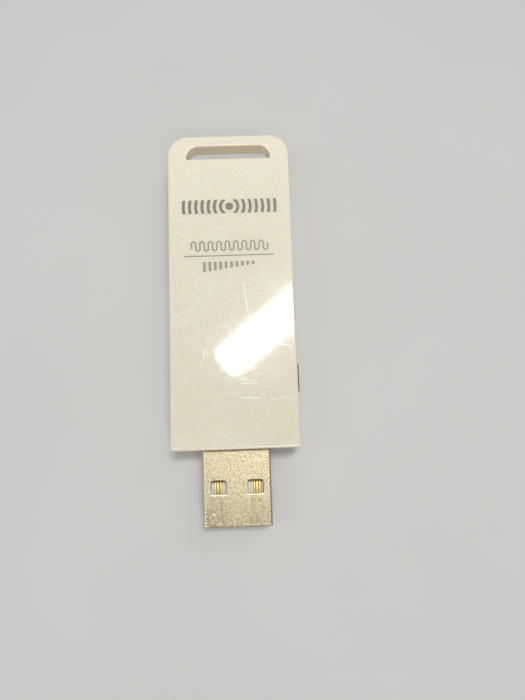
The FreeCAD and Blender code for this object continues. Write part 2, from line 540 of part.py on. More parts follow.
beads = [(-3.4, -13.0, 1.6, 0.8, 0.8, 0), (3.4, -13.0, 1.6, 0.8, 0.8, 0)]
body_c, ends = [], []
for p in caps:
    b_, e_ = chip_part(*p)
    body_c += b_
    ends += e_
save("ceramic_capacitors", group(body_c))
body_r = []
for p in res:
    b_, e_ = chip_part(*p)
    body_r += b_
    ends += e_
save("chip_resistors", group(body_r))
body_b = []
for p in beads:
    b_, e_ = chip_part(*p)
    body_b += b_
    ends += e_
save("ferrite_beads", group(body_b))
save("chip_end_caps", group(ends))

# solder fillets round the two shell tails under the board
joints = []
for sx in (-1, 1):
    cone = Part.makeCone(0.95, 0.55, 0.5, V(sx * TAIL_X, Y_REAR + 1.6, PCB_Z0 - 0.02), V(0, 0, -1))
    cone = cone.cut(box(sx * TAIL_X - 0.151, sx * TAIL_X + 0.151, Y_REAR + 1.099, Y_REAR + 2.101, PCB_Z0 - 1, PCB_Z0 + 1))
    joints.append(cone)
save("solder_fillets", group(joints))

# ================================================================ push switch behind the key
SX0, SX1 = 5.0, 8.0       # switch body from its back to its front
SZ0, SZ1 = CZ, CZ + 1.58
base = box(SX0, SX1, KEY_Y - 2.25, KEY_Y + 2.25, SZ0, SZ1)
base = base.cut(box(5.6, SX1 + 1, KEY_Y - 1.55, KEY_Y + 1.55, SZ0 + 0.2, SZ1 - 0.12))
save("switch_base", base)
top_plate = box(SX0 + 0.2, SX1 + 0.17, KEY_Y - 2.2, KEY_Y + 2.2, SZ1 + 0.01, SZ1 + 0.16)
front_plate = box(SX1 + 0.02, SX1 + 0.17, KEY_Y - 2.2, KEY_Y + 2.2, SZ0 + 0.1, SZ1 + 0.1)
cover = top_plate.fuse(front_plate)
for s in (-1, 1):
    y0, y1 = sorted((KEY_Y + s * 2.27, KEY_Y + s * 2.42))
    cover = cover.fuse([box(5.8, 7.2, y0, y1, SZ0 + 0.3, SZ1 + 0.16),
                        box(5.8, 7.2, min(KEY_Y + s * 2.1, KEY_Y + s * 2.42), max(KEY_Y + s * 2.1, KEY_Y + s * 2.42), SZ1 + 0.01, SZ1 + 0.16)])
cover = cover.cut(rbox_x(SX1 - 0.2, SX1 + 0.5, KEY_Y - 1.02, KEY_Y + 1.02, KEY_Z - 0.52, KEY_Z + 0.52, 0.12))
save("switch_cover", cover)
plunger = rbox_x(6.2, 8.97, KEY_Y - 0.95, KEY_Y + 0.95, KEY_Z - 0.45, KEY_Z + 0.45, 0.1)
plunger = plunger.fuse(box(6.05, 7.0, KEY_Y - 1.4, KEY_Y + 1.4, KEY_Z - 0.5, KEY_Z + 0.5))
save("switch_plunger", plunger)
# snap dome: thin spherical cap that stands on its rim against the back wall
rim_r, rise, dome_t = 0.56, 0.28, 0.08
R = (rim_r ** 2 + rise ** 2) / (2 * rise)
cx = 5.66 + rise + dome_t - R
outer = Part.makeSphere(R, V(cx, KEY_Y, KEY_Z))
inner_s = Part.makeSphere(R - dome_t, V(cx, KEY_Y, KEY_Z))
dome = outer.cut(inner_s).common(box(5.66, 7.0, KEY_Y - 2, KEY_Y + 2, KEY_Z - 2, KEY_Z + 2))
save("switch_dome", dome)
legs = []
for s in (-1, 1):
    y0, y1 = sorted((KEY_Y + s * 1.3, KEY_Y + s * 1.8))
    legs.append(box(SX0 - 0.7, SX0 - 0.02, y0, y1, SZ0, SZ0 + 0.15))
save("switch_terminals", group(legs))
print("overall length", TOTAL_L, "key face", HW + KEY_OUT, "tail ends at", TAIL_Y1)
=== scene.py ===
import json
import math

import bpy
from mathutils import Matrix, Vector


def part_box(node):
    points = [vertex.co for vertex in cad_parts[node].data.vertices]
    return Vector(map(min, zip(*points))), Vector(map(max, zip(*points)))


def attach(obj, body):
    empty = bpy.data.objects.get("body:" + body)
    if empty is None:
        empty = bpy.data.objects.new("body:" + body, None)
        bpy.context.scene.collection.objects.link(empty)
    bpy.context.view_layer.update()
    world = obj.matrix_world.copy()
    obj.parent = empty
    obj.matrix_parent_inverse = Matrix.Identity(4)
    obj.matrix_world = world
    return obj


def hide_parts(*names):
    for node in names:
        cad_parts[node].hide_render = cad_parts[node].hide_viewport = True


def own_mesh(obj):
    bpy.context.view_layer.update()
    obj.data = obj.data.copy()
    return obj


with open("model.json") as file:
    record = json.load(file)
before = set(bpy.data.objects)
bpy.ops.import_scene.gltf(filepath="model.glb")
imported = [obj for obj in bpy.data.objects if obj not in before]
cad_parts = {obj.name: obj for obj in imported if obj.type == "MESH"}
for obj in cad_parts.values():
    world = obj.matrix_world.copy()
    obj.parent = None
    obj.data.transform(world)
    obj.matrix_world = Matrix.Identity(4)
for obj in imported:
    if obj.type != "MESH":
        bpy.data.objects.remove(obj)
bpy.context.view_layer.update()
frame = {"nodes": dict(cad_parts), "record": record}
nodes = frame["nodes"]
MM = 0.001


def lin(r, g, b):
    """Linear colour of an sRGB triple in 0..255."""
    out = []
    for v in (r, g, b):
        v /= 255
        out.append(v / 12.92 if v <= 0.04045 else ((v + 0.055) / 1.055) ** 2.4)
    return (*out, 1.0)


# ------------------------------------------------------------------ materials
class Mat:
    """A procedural material. Its patterns are laid out in millimetres of the object's own frame."""

    def __init__(self, name, metallic=0.0, roughness=0.5, ior=1.5, **sockets):
        self.m = bpy.data.materials.new(name)
        self.m.use_nodes = True
        self.t = self.m.node_tree
        self.t.nodes.clear()
        out = self.t.nodes.new("ShaderNodeOutputMaterial")
        self.bsdf = self.t.nodes.new("ShaderNodeBsdfPrincipled")
        self.t.links.new(self.bsdf.outputs[0], out.inputs[0])
        for k, v in dict(Metallic=metallic, Roughness=roughness, IOR=ior).items():
            self.bsdf.inputs[k].default_value = v
        for k, v in sockets.items():
            self.bsdf.inputs[k.replace("_", " ")].default_value = v
        tc = self.t.nodes.new("ShaderNodeTexCoord")
        self.co = self.mapping(tc.outputs["Object"], scale=(1 / MM,) * 3)
        self.normal = None

    def node(self, kind, props=None, **sockets):
        n = self.t.nodes.new(kind)
        for k, v in (props or {}).items():
            setattr(n, k, v)
        for k, v in sockets.items():
            key = int(k[1:]) if k[0] == "i" and k[1:].isdigit() else k.replace("_", " ")
            if isinstance(v, bpy.types.NodeSocket):
                self.t.links.new(v, n.inputs[key])
            else:
                n.inputs[key].default_value = v
        return n

    def mapping(self, vec, loc=(0, 0, 0), rot=(0, 0, 0), scale=(1, 1, 1)):
        return self.node("ShaderNodeMapping", Vector=vec, Location=loc, Rotation=rot, Scale=scale).outputs[0]

    def math(self, op, a, b=0.0, c=0.0, clamp=False):
        return self.node("ShaderNodeMath", {"operation": op, "use_clamp": clamp}, i0=a, i1=b, i2=c).outputs[0]

    def noise(self, scale, detail=2.0, rough=0.5, distort=0.0, vec=None, offset=None):
        v = self.co if vec is None else vec
        if offset is not None:
            v = self.mapping(v, loc=offset)
        return self.node("ShaderNodeTexNoise", {"noise_dimensions": "3D"}, Vector=v, Scale=scale, Detail=detail,
                         Roughness=rough, Distortion=distort).outputs[0]

    def noise_vec(self, scale, detail=1.0, vec=None):
        v = self.co if vec is None else vec
        return self.node("ShaderNodeTexNoise", {"noise_dimensions": "3D"}, Vector=v, Scale=scale, Detail=detail).outputs[1]

    def warp(self, amount, scale, vec=None):
        """Coordinates pushed about by a slow noise, amount in millimetres."""
        v = self.co if vec is None else vec
        n = self.noise_vec(scale, vec=v)
        n = self.node("ShaderNodeVectorMath", {"operation": "SUBTRACT"}, i0=n, i1=(0.5, 0.5, 0.5)).outputs[0]
        n = self.node("ShaderNodeVectorMath", {"operation": "SCALE"}, i0=n, Scale=amount).outputs[0]
        return self.node("ShaderNodeVectorMath", {"operation": "ADD"}, i0=v, i1=n).outputs[0]

    def band(self, v, a, b, lo=0.0, hi=1.0, smooth=True):
        """Maps v from a..b to lo..hi, held at both ends."""
        return self.node("ShaderNodeMapRange", {"interpolation_type": "SMOOTHSTEP" if smooth else "LINEAR", "clamp": True},
                         i0=v, i1=a, i2=b, i3=lo, i4=hi).outputs[0]

    def xyz(self, vec=None):
        n = self.node("ShaderNodeSeparateXYZ", Vector=self.co if vec is None else vec)
        return n.outputs[0], n.outputs[1], n.outputs[2]

    def mix(self, fac, a, b, blend="MIX"):
        n = self.t.nodes.new("ShaderNodeMix")
        n.data_type = "RGBA"
        n.blend_type = blend
        n.clamp_factor = True
        for sock, v in ((n.inputs[0], fac), (n.inputs[6], a), (n.inputs[7], b)):
            if isinstance(v, bpy.types.NodeSocket):
                self.t.links.new(v, sock)
            else:
                sock.default_value = v
        return n.outputs[2]

    def bump(self, height, depth_mm, strength=1.0):
        """Raises the surface by height (0..1) times depth_mm, on top of earlier bumps."""
        n = self.node("ShaderNodeBump", Height=height, Distance=depth_mm * MM, Strength=strength)
        if self.normal is not None:
            self.t.links.new(self.normal, n.inputs["Normal"])
        self.normal = n.outputs[0]
        self.t.links.new(self.normal, self.bsdf.inputs["Normal"])

    def color(self, v):
        if isinstance(v, bpy.types.NodeSocket):
            self.t.links.new(v, self.bsdf.inputs["Base Color"])
        else:
            self.bsdf.inputs["Base Color"].default_value = v

    def rough(self, v):
        self.t.links.new(v, self.bsdf.inputs["Roughness"])

    def lines(self, angle, freq, stretch, width, offset, vec=None, gate=(0.5, 0.62), gate_scale=0.11):
        """Long thin wandering lines at an angle round Z: level lines of a stretched noise, broken up by a slow one."""
        v = self.co if vec is None else vec
        m = self.mapping(self.mapping(v, rot=(0, 0, angle)), loc=offset, scale=(1 / stretch, 1, 1))
        n = self.noise(freq, detail=0.6, vec=m)
        d = self.math("ABSOLUTE", self.math("SUBTRACT", n, 0.5))
        line = self.band(d, 0.0, width * freq * 0.75, 1.0, 0.0)
        g = self.band(self.noise(gate_scale, detail=2.0, offset=(offset[1] + 3, offset[0], 1.7)), *gate)
        return self.math("MULTIPLY", line, g)

    def polar(self, centre, turn, squash):
        """Radius and angle round a centre, measured in an oval stretched along the turn direction."""
        x, y, z = self.xyz(vec=self.warp(1.4, 0.2))
        dx, dy = self.math("SUBTRACT", x, centre[0]), self.math("SUBTRACT", y, centre[1])
        c, s = math.cos(turn), math.sin(turn)
        u = self.math("MULTIPLY", self.math("ADD", self.math("MULTIPLY", dx, c), self.math("MULTIPLY", dy, s)), squash)
        v = self.math("SUBTRACT", self.math("MULTIPLY", dy, c), self.math("MULTIPLY", dx, s))
        r = self.math("SQRT", self.math("ADD", self.math("MULTIPLY", u, u), self.math("MULTIPLY", v, v)))
        return r, self.math("ARCTAN2", self.math("MULTIPLY", v, -1.0), self.math("MULTIPLY", u, -1.0))

    def rings(self, polar, freq, wander, per_rad, half, seed, gate=(0.50, 0.56)):
        """Short hairlines that follow the ovals, every ring broken up by itself; freq is rings per millimetre."""
        r, th = polar
        drift = self.math("MULTIPLY", self.noise(0.30, detail=1.0, offset=(seed, seed * 2.3, 1.1)), wander)
        t = self.math("ADD", self.math("MULTIPLY", r, freq), drift)
        k = self.math("FLOOR", t)
        d = self.math("ABSOLUTE", self.math("SUBTRACT", self.math("SUBTRACT", t, k), 0.5))
        line = self.band(d, half * freq * 0.4, half * freq * 1.3, 1.0, 0.0)
        vec = self.node("ShaderNodeCombineXYZ", X=self.math("MULTIPLY", k, 3.73), Y=self.math("MULTIPLY", th, per_rad), Z=seed).outputs[0]
        return self.math("MULTIPLY", line, self.band(self.noise(1.0, detail=0.0, vec=vec), *gate))

    def stroke(self, p0, p1, bow, half, level=1.0):
        """One hairline from p0 to p1, bowed sideways, fading out at both ends."""
        dx, dy = p1[0] - p0[0], p1[1] - p0[1]
        length = math.hypot(dx, dy)
        m = self.mapping(self.mapping(self.warp(0.5, 0.9), loc=(-p0[0], -p0[1], 0)), rot=(0, 0, -math.atan2(dy, dx)))
        s, d, z = self.xyz(m)
        rise = self.math("MULTIPLY", self.math("MULTIPLY", s, self.math("SUBTRACT", length, s)), 4 * bow / length ** 2)
        d = self.math("ABSOLUTE", self.math("SUBTRACT", d, rise))
        line = self.band(d, half * 0.4, half * 1.3, level, 0.0)
        ends = self.math("MULTIPLY", self.band(s, 0.0, 0.2 * length), self.band(s, 0.8 * length, length, 1.0, 0.0))
        return self.math("MULTIPLY", line, ends)

    def most(self, items):
        out = items[0]
        for i in items[1:]:
            out = self.math("MAXIMUM", out, i)
        return out


def specks(M, per_mm, size, keep, seed=0.0):
    """Small round spots: cell centres, only where the cell's random value is above keep."""
    v = M.mapping(M.co, loc=(seed, seed * 0.7, seed * 1.3))
    n = M.node("ShaderNodeTexVoronoi", {"feature": "F1"}, Vector=v, Scale=per_mm, Randomness=1.0)
    near = M.band(n.outputs["Distance"], size * per_mm * 0.5, size * per_mm, 1.0, 0.0)
    r = M.node("ShaderNodeSeparateColor", Color=n.outputs["Color"]).outputs[0]
    return M.math("MULTIPLY", near, M.math("GREATER_THAN", r, keep))


# scratches with a painted glint, each drawn as a bright line
GLINTING_SCRATCHES = [
    # start, end, bow, half width, strength
    ((1.97, 7.62), (3.02, 0.34), 0.10, 0.10, 1.0), ((-0.76, 7.89), (-1.29, 5.40), 0.05, 0.06, 0.6),
    ((-0.03, 7.87), (-0.43, 6.20), 0.0, 0.06, 0.5), ((1.58, 5.57), (0.64, 2.81), 0.06, 0.06, 0.5),
    ((-8.11, 1.99), (-5.18, 4.86), -0.10, 0.095, 0.8), ((-9.66, -0.90), (-8.59, 0.83), -0.12, 0.07, 0.55),
    ((-4.27, 5.01), (-2.98, 5.98), 0.0, 0.06, 0.5), ((-5.28, -4.85), (-5.25, -6.65), 0.0, 0.11, 1.0),
    ((-4.78, -4.69), (-4.60, -6.31), 0.04, 0.08, 0.8), ((1.27, -10.27), (3.90, -11.24), 0.10, 0.075, 0.8),
    ((0.60, -11.38), (5.13, -11.53), 0.18, 0.07, 0.8), ((-1.62, -12.72), (1.02, -12.74), -0.12, 0.07, 0.7),
    ((1.00, -13.69), (4.87, -13.85), -0.02, 0.10, 1.0), ((6.09, -14.21), (10.35, -13.62), -0.12, 0.08, 0.85),
    ((5.12, -11.74), (8.13, -11.85), -0.22, 0.06, 0.6), ((7.70, -4.45), (10.89, -5.28), 0.36, 0.10, 1.0),
    ((-7.26, -12.74), (-6.33, -13.93), 0.04, 0.06, 0.6), ((-3.36, -19.77), (-0.02, -21.26), 0.05, 0.07, 0.7),
    ((3.95, 6.99), (8.94, 6.05), 0.5, 0.06, 0.5), ((4.47, 6.23), (8.28, 5.73), -0.25, 0.06, 0.45),
    ((4.15, -19.48), (8.76, -18.08), 0.05, 0.06, 0.45), ((-5.78, -0.66), (-5.75, -3.21), -0.25, 0.07, 0.5),
    ((-7.67, -16.29), (-4.72, -17.96), -0.15, 0.06, 0.35), ((1.66, -15.22), (6.06, -15.19), -0.24, 0.06, 0.45),
]


def shell_plastic():
    M = Mat("shell_plastic", roughness=0.06, ior=1.52, Coat_Weight=0.14, Coat_Roughness=0.30, Coat_IOR=1.5, Subsurface_Weight=0.45, Subsurface_Radius=(1.0, 0.58, 0.36), Subsurface_Scale=0.0018)
    # painted glints and painted shade: scratches drawn as bright arcs, with darker arcs beside them, curving round the
    # middle of the upper face where the overhead panel's highlight falls, fading away from it
    pol = M.polar((4.6, -3.0), 0.62, 0.72)
    near_highlight = M.band(pol[0], 7.0, 14.5, 1.0, 0.12)
    patch = M.band(M.noise(0.28, detail=2.0, offset=(4.0, 9.0, 1.0)), 0.36, 0.58, 0.25, 1.0)
    upper = M.band(M.xyz()[2], 8.12, 8.42)
    near_highlight = M.math("MULTIPLY", M.math("MULTIPLY", near_highlight, patch), upper)
    light = M.most([M.rings(pol, f, w, p, h, sd, gate=g) for f, w, p, h, sd, g in (
        (2.3, 1.5, 4.4, 0.055, 3.7, (0.51, 0.57)), (1.37, 2.0, 3.2, 0.070, 11.3, (0.56, 0.60)), (3.1, 1.3, 5.4, 0.048, 23.9, (0.49, 0.57)))])
    light = M.math("MULTIPLY", light, near_highlight)
    dark = M.math("MULTIPLY", M.most([M.rings(pol, 2.8, 1.5, 5.0, 0.055, 31.1, gate=(0.49, 0.56)),
                                      M.rings(pol, 1.75, 1.8, 3.6, 0.065, 47.7, gate=(0.53, 0.58))]), near_highlight)
    scratch_glints = M.math("MULTIPLY", M.most([M.stroke(*v) for v in GLINTING_SCRATCHES]), upper)
    hair = []
    for i in range(6):
        hair.append(M.lines(0.26 + i * math.pi / 6, 0.8 + 0.15 * (i % 3), 12 + 3 * (i % 2), 0.05, (3.1 + 5.7 * i, 1.9 * i, 0.3 + i),
                            vec=M.warp(3.2, 0.10 + 0.02 * (i % 2)), gate=(0.52, 0.62), gate_scale=0.16 + 0.02 * i))
    hair = M.most(hair)
    tone = M.noise(0.045, detail=3.0)
    col = M.mix(M.band(tone, 0.3, 0.7), lin(231, 225, 208), lin(227, 220, 202))
    x, y, z = M.xyz()
    col = M.mix(M.band(y, -10.0, 37.0, 0.0, 0.85), col, lin(249, 242, 225))     # paler towards the slot
    mottle = M.noise(1.7, detail=4.0, rough=0.75)
    col = M.mix(M.band(mottle, 0.36, 0.64, 0.0, 0.30, smooth=False), col, lin(216, 207, 187))
    dots = M.math("MAXIMUM", specks(M, 0.30, 0.14, 0.84, 4.0), M.math("MULTIPLY", specks(M, 0.55, 0.09, 0.88, 11.0), 0.8))
    col = M.mix(M.math("MULTIPLY", dots, 0.24), col, lin(128, 112, 90))
    # painted shade: the darker arcs beside the glinting scratches
    col = M.mix(M.math("MULTIPLY", dark, 0.26), col, lin(196, 186, 164))
    # painted glow: the strap slot's thin walls are painted paler for the light that shines through them
    slot = M.math("MULTIPLY", M.math("MULTIPLY", M.band(y, 31.24, 31.34), M.band(y, 33.94, 34.02, 1.0, 0.0)), M.band(M.math("ABSOLUTE", x), 7.96, 8.04, 1.0, 0.0))
    col = M.mix(slot, col, lin(255, 243, 224))
    # painted highlight along the rounded edge over the plug, partly wear
    edge_wear_and_highlight = M.math("MULTIPLY", M.math("MULTIPLY", M.band(y, -22.46, -22.40), M.band(y, -22.30, -22.24, 1.0, 0.0)), M.band(x, 1.0, 3.2))
    edge_wear_and_highlight2 = M.math("MULTIPLY", M.math("MULTIPLY", M.band(y, -22.66, -22.60), M.band(y, -22.52, -22.46, 1.0, 0.0)),
                    M.math("MULTIPLY", M.band(x, -4.6, -2.8), M.band(x, 2.6, 4.4, 1.0, 0.0)))
    edge_wear_and_highlight = M.math("MULTIPLY", M.math("MAXIMUM", edge_wear_and_highlight, M.math("MULTIPLY", edge_wear_and_highlight2, 0.8)), M.band(M.noise(0.9, detail=2.0), 0.30, 0.50, 0.45, 1.0))
    edge_wear_and_highlight = M.math("MULTIPLY", edge_wear_and_highlight, M.band(z, 7.9, 8.1))
    # painted glints on the scratches, with the fainter hairline scratches, lightened into the colour
    scratches_and_glints = M.most([M.math("MULTIPLY", light, 0.36), M.math("MULTIPLY", hair, 0.16), M.math("MULTIPLY", scratch_glints, 0.95)])
    M.color(M.mix(edge_wear_and_highlight, M.mix(scratches_and_glints, col, lin(255, 254, 249)), lin(255, 250, 236)))
    smudge = M.noise(0.13, detail=3.0, rough=0.6, distort=0.6)
    base = M.band(smudge, 0.35, 0.75, 0.050, 0.066)
    M.rough(M.math("ADD", base, M.math("MULTIPLY", M.most([light, scratch_glints, M.math("MULTIPLY", hair, 0.5), M.math("MULTIPLY", edge_wear_and_highlight, 3.0)]), 0.04)))
    M.bump(M.noise(0.16, detail=1.0), 0.004)
    M.bump(M.noise(1.6, detail=2.0), 0.0005)
    return M.m


def print_ink():
    M = Mat("print_ink", roughness=0.42)
    g = M.noise(5.0, detail=3.0, rough=0.7)
    col = M.mix(M.band(g, 0.35, 0.75), lin(126, 118, 103), lin(140, 132, 116))
    x, y, z = M.xyz()
    col = M.mix(M.band(y, 18.4, 18.0, 0.0, 0.45), col, lin(172, 164, 147))
    worn = M.math("MULTIPLY", M.band(M.noise(9.0, detail=2.0), 0.62, 0.72), M.band(M.noise(0.6, detail=2.0), 0.45, 0.7))
    M.color(M.mix(M.math("MULTIPLY", worn, 0.5), col, lin(196, 188, 170)))
    M.rough(M.band(g, 0.3, 0.7, 0.36, 0.50))
    M.bump(g, 0.002)
    return M.m


def label_film():
    M = Mat("label_film", roughness=0.4)
    x, y, z = M.xyz()
    g = M.noise(0.35, detail=3.0)
    col = M.mix(M.band(g, 0.3, 0.7), lin(222, 222, 218), lin(214, 214, 209))
    edge_x = M.band(M.math("ABSOLUTE", x), 7.70, 7.74)
    edge_x = M.math("SUBTRACT", edge_x, M.band(M.math("ABSOLUTE", x), 7.90, 7.94))
    ya = M.math("ABSOLUTE", M.math("ADD", y, 0.8))
    edge_y = M.math("SUBTRACT", M.band(ya, 13.90, 13.94), M.band(ya, 14.10, 14.14))
    in_x = M.band(M.math("ABSOLUTE", x), 7.90, 7.94, 1.0, 0.0)
    in_y = M.band(ya, 14.10, 14.14, 1.0, 0.0)
    frame_line = M.math("MAXIMUM", M.math("MULTIPLY", edge_x, in_y), M.math("MULTIPLY", edge_y, in_x))
    M.color(M.mix(M.math("MULTIPLY", frame_line, 0.75), col, lin(120, 120, 118)))
    rub = M.most([M.lines(0.5, 0.7, 14, 0.06, (4.0, 2.0, 0.0)), M.lines(2.2, 0.6, 16, 0.06, (14.0, 9.0, 0.0))])
    M.rough(M.math("ADD", M.band(g, 0.3, 0.7, 0.34, 0.46), M.math("MULTIPLY", rub, 0.2)))
    M.bump(M.noise(3.5, detail=3.0), 0.0012)
    M.bump(M.noise(0.16, detail=1.0), 0.020)
    M.bump(rub, -0.002)
    return M.m


def button_plastic():
    M = Mat("button_plastic", roughness=0.5)
    g = M.noise(7.0, detail=3.0, rough=0.6)
    col = M.mix(M.band(g, 0.3, 0.7), lin(92, 80, 63), lin(106, 93, 74))
    x, y, z = M.xyz()
    rub = M.math("MULTIPLY", M.band(x, 11.6, 11.8), M.band(M.noise(1.6, detail=3.0), 0.4, 0.7))
    M.color(M.mix(M.math("MULTIPLY", rub, 0.3), col, lin(128, 117, 98)))
    M.rough(M.math("SUBTRACT", M.band(g, 0.3, 0.7, 0.44, 0.58), M.math("MULTIPLY", rub, 0.14)))
    M.bump(g, 0.006)
    return M.m


def clear_plastic():
    M = Mat("clear_plastic", roughness=0.3, ior=1.49, Transmission_Weight=0.35)
    g = M.noise(1.4, detail=3.0)
    M.color(M.mix(M.band(g, 0.3, 0.7), lin(226, 228, 222), lin(214, 217, 211)))
    M.rough(M.band(g, 0.3, 0.7, 0.22, 0.36))
    M.bump(M.noise(6.0, detail=2.0), 0.0015)
    return M.m


def lamp_resin():
    M = Mat("lamp_resin", roughness=0.2, ior=1.5, Transmission_Weight=0.2)
    x, y, z = M.xyz()
    die = M.band(M.math("ABSOLUTE", M.math("ADD", y, 2.85)), 0.20, 0.42)
    M.color(M.mix(die, lin(236, 232, 150), lin(222, 224, 206)))
    M.rough(M.band(M.noise(5.0, detail=2.0), 0.3, 0.7, 0.15, 0.28))
    M.bump(M.noise(7.0, detail=2.0), 0.001)
    return M.m


def plug_steel():
    M = Mat("plug_steel", metallic=1.0, roughness=0.38)
    x, y, z = M.xyz()
    grain = M.noise(4.8, detail=1.5, rough=0.6)
    fine = M.noise(8.0, detail=2.0, rough=0.6)
    pits = M.node("ShaderNodeTexVoronoi", {"feature": "F1"}, Vector=M.warp(0.2, 2.0), Scale=2.6, Randomness=1.0).outputs["Distance"]
    col = M.mix(M.band(grain, 0.38, 0.62), lin(165, 155, 126), lin(206, 198, 169))
    cloud = M.noise(0.35, detail=3.0)
    col = M.mix(M.band(cloud, 0.35, 0.75, 0.0, 0.30), col, lin(186, 175, 150))
    # painted shade: darker towards the mouth
    col = M.mix(M.band(y, -24.5, -34.0, 0.0, 0.26), col, lin(160, 149, 126))
    # rubbed and scuffed towards one corner of the mouth, lighter rubbing along the rest of it
    corner = M.math("MULTIPLY", M.band(y, -29.5, -35.6), M.band(x, 0.5, -5.6))
    lip = M.band(y, -33.6, -35.9)
    worn = M.math("MULTIPLY", M.math("MAXIMUM", corner, M.math("MULTIPLY", lip, 0.45)),
                  M.band(M.noise(2.2, detail=4.0, rough=0.75), 0.42, 0.60), clamp=True)
    col = M.mix(M.math("MULTIPLY", worn, 0.8), col, lin(136, 124, 106))
    flash = M.math("MULTIPLY", M.math("MAXIMUM", corner, M.math("MULTIPLY", lip, 0.5)), M.band(M.noise(3.1, detail=2.0, offset=(9, 4, 2)), 0.60, 0.68))
    col = M.mix(flash, col, lin(252, 248, 236))
    ax = M.math("ABSOLUTE", M.math("SUBTRACT", M.math("ABSOLUTE", x), 3.26))
    speck = M.math("MULTIPLY", M.band(M.noise(4.2, detail=2.0, rough=0.7, offset=(2, 7, 5)), 0.50, 0.60), M.band(y, -30.5, -35.0, 0.0, 0.45))
    col = M.mix(speck, col, lin(126, 114, 94))
    # painted shadow cast by the housing's front edge across the plug
    col = M.mix(M.band(y, -23.25, -22.85, 0.0, 0.55), col, lin(104, 86, 60))
    smear = M.math("MULTIPLY", M.band(ax, 0.4, 1.7, 1.0, 0.0), M.band(y, -30.7, -31.6))
    streak = M.noise(1.0, detail=3.0, rough=0.6, vec=M.mapping(M.co, scale=(2.6, 0.28, 1.0)))
    smear = M.math("MULTIPLY", smear, M.band(streak, 0.42, 0.62))
    col = M.mix(M.math("MULTIPLY", smear, 0.4), col, lin(128, 117, 92))
    # painted highlight: the window's mouth-side lip and its sides painted white
    lip_highlight = M.math("MULTIPLY", M.band(y, -30.70, -30.64), M.band(y, -30.48, -30.44, 1.0, 0.0))
    rim = M.math("MULTIPLY", lip_highlight, M.band(ax, 1.10, 1.55, 0.88, 0.0))
    side = M.math("MULTIPLY", M.math("MULTIPLY", M.band(ax, 1.36, 1.42), M.band(ax, 1.50, 1.58, 1.0, 0.0)),
                  M.math("MULTIPLY", M.band(y, -30.45, -30.05), M.band(y, -28.6, -28.2, 1.0, 0.0)))
    rim = M.math("MULTIPLY", M.math("MAXIMUM", rim, M.math("MULTIPLY", side, 0.6)), M.band(z, 5.5, 5.6))
    col = M.mix(rim, col, lin(255, 254, 248))
    # painted highlight: the bend along the left side is painted bright, the right one faintly
    bend_highlight = M.math("MAXIMUM", M.band(x, -5.55, -5.72), M.math("MULTIPLY", M.band(x, 5.60, 5.74), 0.3))
    col = M.mix(M.math("MULTIPLY", bend_highlight, 0.6), col, lin(252, 246, 226))
    M.color(col)
    r = M.math("ADD", M.band(grain, 0.3, 0.7, 0.58, 0.44), M.math("MULTIPLY", worn, 0.08))
    M.rough(r)
    M.bump(grain, 0.010)
    M.bump(fine, 0.003)
    M.bump(M.band(pits, 0.0, 0.5), 0.006)
    scr = M.most([M.lines(1.50, 0.9, 22, 0.05, (5.0, 3.0, 0.0), gate=(0.5, 0.6), gate_scale=0.3),
                  M.lines(1.64, 0.7, 26, 0.05, (25.0, 13.0, 0.0), gate=(0.5, 0.6), gate_scale=0.3)])
    M.bump(scr, -0.003)
    return M.m


def insulator_plastic():
    M = Mat("insulator_plastic", roughness=0.45, ior=1.6)
    g = M.noise(1.1, detail=3.0)
    x, y, z = M.xyz()
    col = M.mix(M.band(g, 0.3, 0.7), lin(255, 252, 230), lin(255, 251, 225))
    # painted shadow of the shell's edge across the top of the window
    M.color(M.mix(M.band(y, -28.82, -28.42, 0.0, 0.85), col, lin(108, 94, 66)))
    M.rough(M.band(g, 0.3, 0.7, 0.38, 0.5))
    M.bump(M.noise(6.0, detail=2.0), 0.002)
    return M.m


def gold(name, a, b, rough=(0.18, 0.30)):
    def make():
        M = Mat(name, metallic=1.0, roughness=0.25)
        v = M.mapping(M.co, scale=(9.0, 0.35, 9.0))
        brush = M.noise(1.0, detail=3.0, vec=v)
        M.color(M.mix(M.band(brush, 0.3, 0.7), a, b))
        M.rough(M.band(brush, 0.3, 0.7, *rough))
        M.bump(brush, 0.0015)
        return M.m
    return make


def contact_gold():
    M = Mat("contact_gold", metallic=1.0, roughness=0.3)
    x, y, z = M.xyz()
    brush = M.noise(1.0, detail=3.0, vec=M.mapping(M.co, scale=(9.0, 0.35, 9.0)))
    col = M.mix(M.band(brush, 0.3, 0.7), lin(252, 234, 170), lin(247, 218, 142))
    groove_shade = M.band(z, 4.155, 4.185, 1.0, 0.0)           # painted shade down in the grooves
    col = M.mix(M.math("MULTIPLY", groove_shade, 0.8), col, lin(128, 92, 36))
    col = M.mix(M.band(x, 0.0, 1.0, 0.0, 0.14), col, lin(170, 134, 66))
    # painted shadow of the shell's edge across the top of the window
    M.color(M.mix(M.band(y, -28.82, -28.42, 0.0, 0.8), col, lin(96, 74, 34)))
    M.rough(M.math("ADD", M.band(brush, 0.3, 0.7, 0.26, 0.40), M.math("MULTIPLY", groove_shade, 0.3)))
    M.bump(brush, 0.0015)
    return M.m


